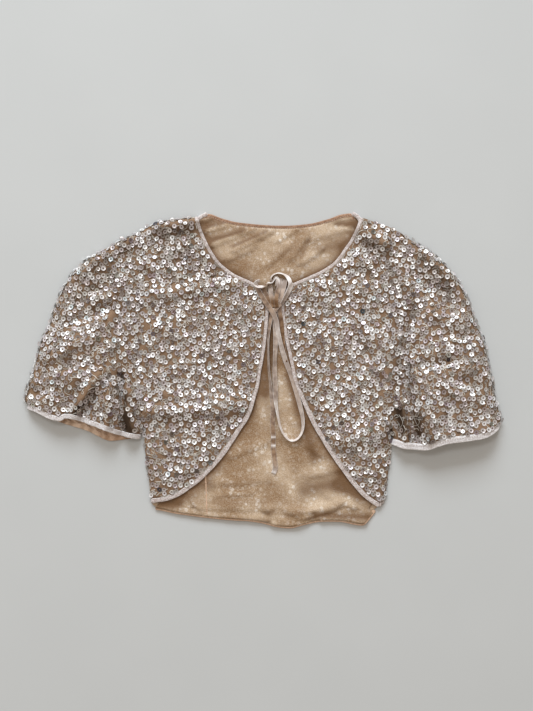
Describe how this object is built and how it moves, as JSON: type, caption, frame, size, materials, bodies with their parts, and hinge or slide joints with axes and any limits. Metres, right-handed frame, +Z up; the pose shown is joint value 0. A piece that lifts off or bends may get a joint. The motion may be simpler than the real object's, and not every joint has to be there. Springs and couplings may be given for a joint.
{
  "type": "sequin shrug",
  "caption": "Cropped open-front shrug of sequinned mesh, lying flat, with short puffed sleeves, bound edges, a cutaway hem, a beige lining and satin ties knotted at the neck.",
  "frame": {"origin": "under the middle of the cloth, on the surface that it lies on", "axes": "+X to the picture's right, +Y from hem to neck, +Z up from the surface"},
  "size_m": [0.6704, 0.4468, 0.0292],
  "materials": {
    "sequin_mesh": "tan mesh covered with pearly silver sequins",
    "lining": "sheer beige, soft satin sheen",
    "binding": "matt woven tape",
    "neck_facing": "brown inner side of the neck tape",
    "ribbon": "satin"
  },
  "bodies": {
    "root": {"back": "sequin_mesh", "front_left": "sequin_mesh", "front_right": "sequin_mesh", "sleeve_left": "sequin_mesh", "sleeve_right": "sequin_mesh", "back_lining": "lining", "sleeve_lining_left": "lining", "hem_binding_back": "lining", "neck_binding_back": "neck_facing", "front_binding_left": "binding", "front_binding_right": "binding", "sleeve_binding_left": "binding", "sleeve_binding_right": "binding", "tie_lead_left": "ribbon", "tie_lead_right": "ribbon", "tie_knot": "ribbon", "tie_tail": "ribbon", "tie_loop": "ribbon"}
  },
  "joints": []
}
